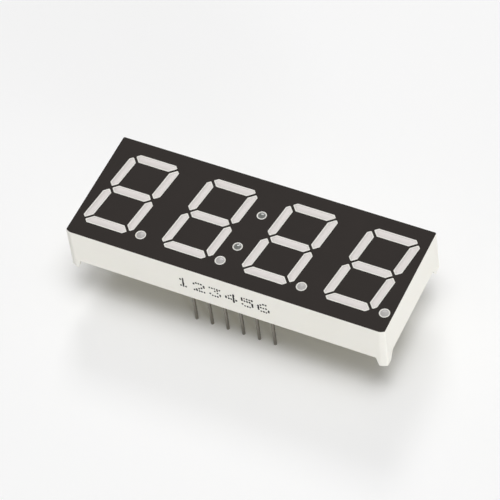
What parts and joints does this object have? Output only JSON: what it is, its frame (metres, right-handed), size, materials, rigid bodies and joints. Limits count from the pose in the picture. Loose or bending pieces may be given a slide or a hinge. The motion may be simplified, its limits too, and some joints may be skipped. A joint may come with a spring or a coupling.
{
  "type": "seven segment display module",
  "caption": "Flat white block with slanted seven-bar digits, decimal points and a colon in a black printed face, standing on two rows of round through-hole pins.",
  "frame": {"origin": "middle of the pin pattern, on the plane of the pin tips", "axes": "+X along the row of digits to the reader's right, +Y towards the top of the digits, +Z out of the display face"},
  "size_m": [0.0502, 0.0192, 0.0144],
  "materials": {
    "housing": "moulded, fine satin",
    "mask": "screen-printed matt black ink",
    "segment_resin": "diffused casting resin",
    "colon_resin": "diffused casting resin over a bare board",
    "board": "glass-fibre laminate",
    "die": "sawn semiconductor",
    "bond_wire": "drawn gold wire",
    "seal": "poured resin",
    "pin": "tinned wire"
  },
  "bodies": {
    "root": {"reflector_housing": "housing", "face_mask": "mask", "digit_1_segment_a": "segment_resin", "digit_1_segment_b": "segment_resin", "digit_1_segment_c": "segment_resin", "digit_1_segment_d": "segment_resin", "digit_1_segment_e": "segment_resin", "digit_1_segment_f": "segment_resin", "digit_1_segment_g": "segment_resin", "digit_1_point": "segment_resin", "digit_2_segment_a": "segment_resin", "digit_2_segment_b": "segment_resin", "digit_2_segment_c": "segment_resin", "digit_2_segment_d": "segment_resin", "digit_2_segment_e": "segment_resin", "digit_2_segment_f": "segment_resin", "digit_2_segment_g": "segment_resin", "digit_2_point": "segment_resin", "digit_3_segment_a": "segment_resin", "digit_3_segment_b": "segment_resin", "digit_3_segment_c": "segment_resin", "digit_3_segment_d": "segment_resin", "digit_3_segment_e": "segment_resin", "digit_3_segment_f": "segment_resin", "digit_3_segment_g": "segment_resin", "digit_3_point": "segment_resin", "digit_4_segment_a": "segment_resin", "digit_4_segment_b": "segment_resin", "digit_4_segment_c": "segment_resin", "digit_4_segment_d": "segment_resin", "digit_4_segment_e": "segment_resin", "digit_4_segment_f": "segment_resin", "digit_4_segment_g": "segment_resin", "digit_4_point": "segment_resin", "colon_upper": "colon_resin", "colon_lower": "colon_resin", "circuit_board": "board", "led_dice": "die", "bond_wires": "bond_wire", "back_seal": "seal", "pin_01": "pin", "pin_02": "pin", "pin_03": "pin", "pin_04": "pin", "pin_05": "pin", "pin_06": "pin", "pin_07": "pin", "pin_08": "pin", "pin_09": "pin", "pin_10": "pin", "pin_11": "pin", "pin_12": "pin"}
  },
  "joints": []
}
